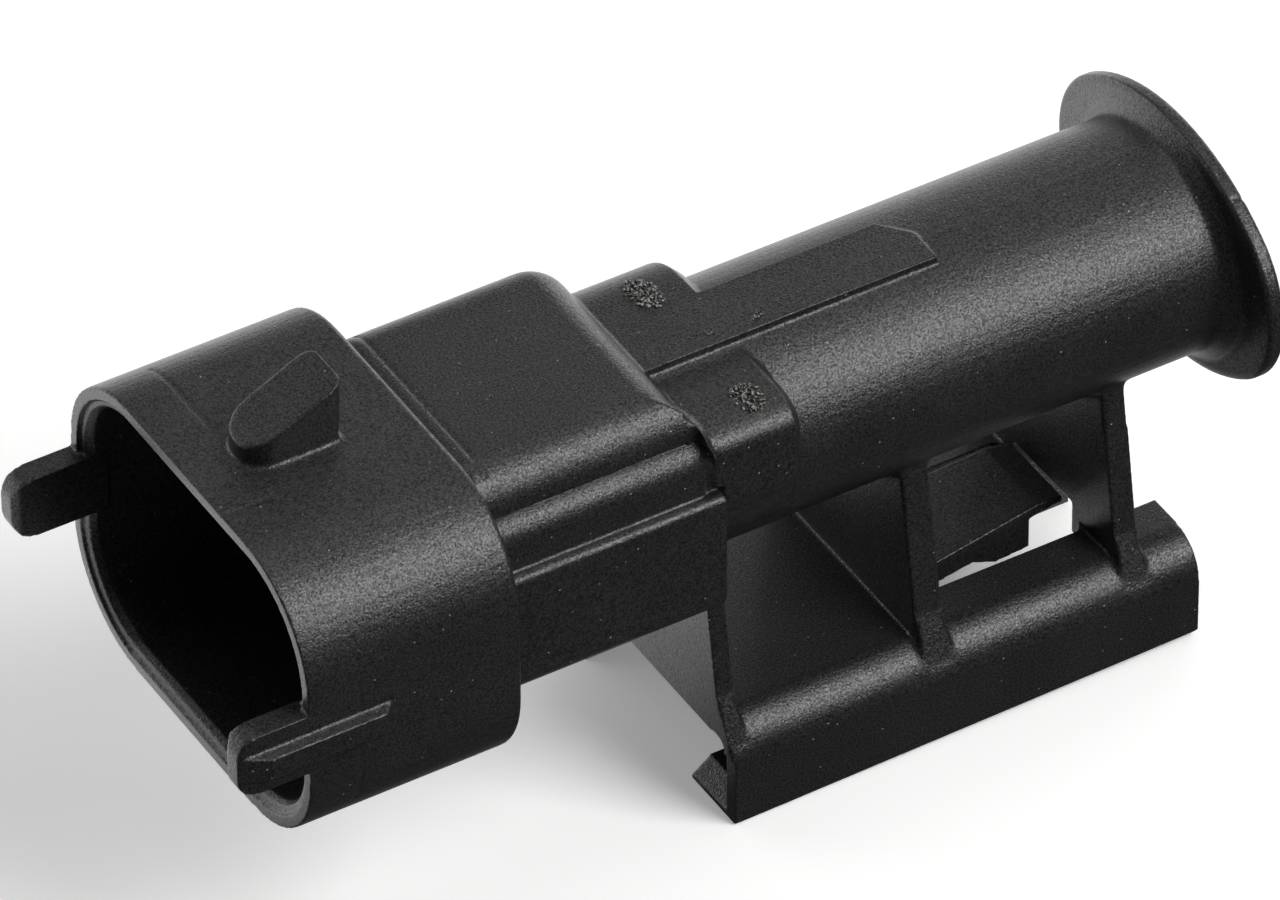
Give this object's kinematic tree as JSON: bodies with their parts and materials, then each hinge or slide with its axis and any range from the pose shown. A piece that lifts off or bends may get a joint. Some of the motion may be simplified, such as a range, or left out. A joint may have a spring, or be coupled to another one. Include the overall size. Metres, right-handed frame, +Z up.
{
  "type": "sealed pin connector housing",
  "caption": "Sealed inline pin connector with a keyed shroud, locking ramp, oval wire tube with end flange, and a slide rail with a spring latch.",
  "frame": {"origin": "middle of the shroud's mating face", "axes": "+X runs from the mating face towards the wires along the shroud and tube, +Z is up towards the locking ramp with the slide rail below, and Y goes across the row of contacts"},
  "size_m": [0.0673, 0.0272, 0.0356],
  "materials": {
    "nylon_black": "fine mould texture, glass-filled polyamide",
    "contact_metal": "tin-plated, satin",
    "seal_rubber": "smooth silicone, slightly oiled"
  },
  "bodies": {
    "housing_body": {"housing": "nylon_black", "contact_near": "contact_metal", "contact_far": "contact_metal", "wire_seal_near": "seal_rubber", "wire_seal_far": "seal_rubber"},
    "latch": {"rail_latch": "nylon_black"}
  },
  "joints": [
    {"name": "latch_flex", "type": "hinge", "parent": "housing_body", "child": "latch", "pos_m": [0.04345, 0, -0.01585], "axis": [0, -1, 0], "range_deg": [0, 10], "stiffness_Nm_per_rad": 0.02}
  ]
}
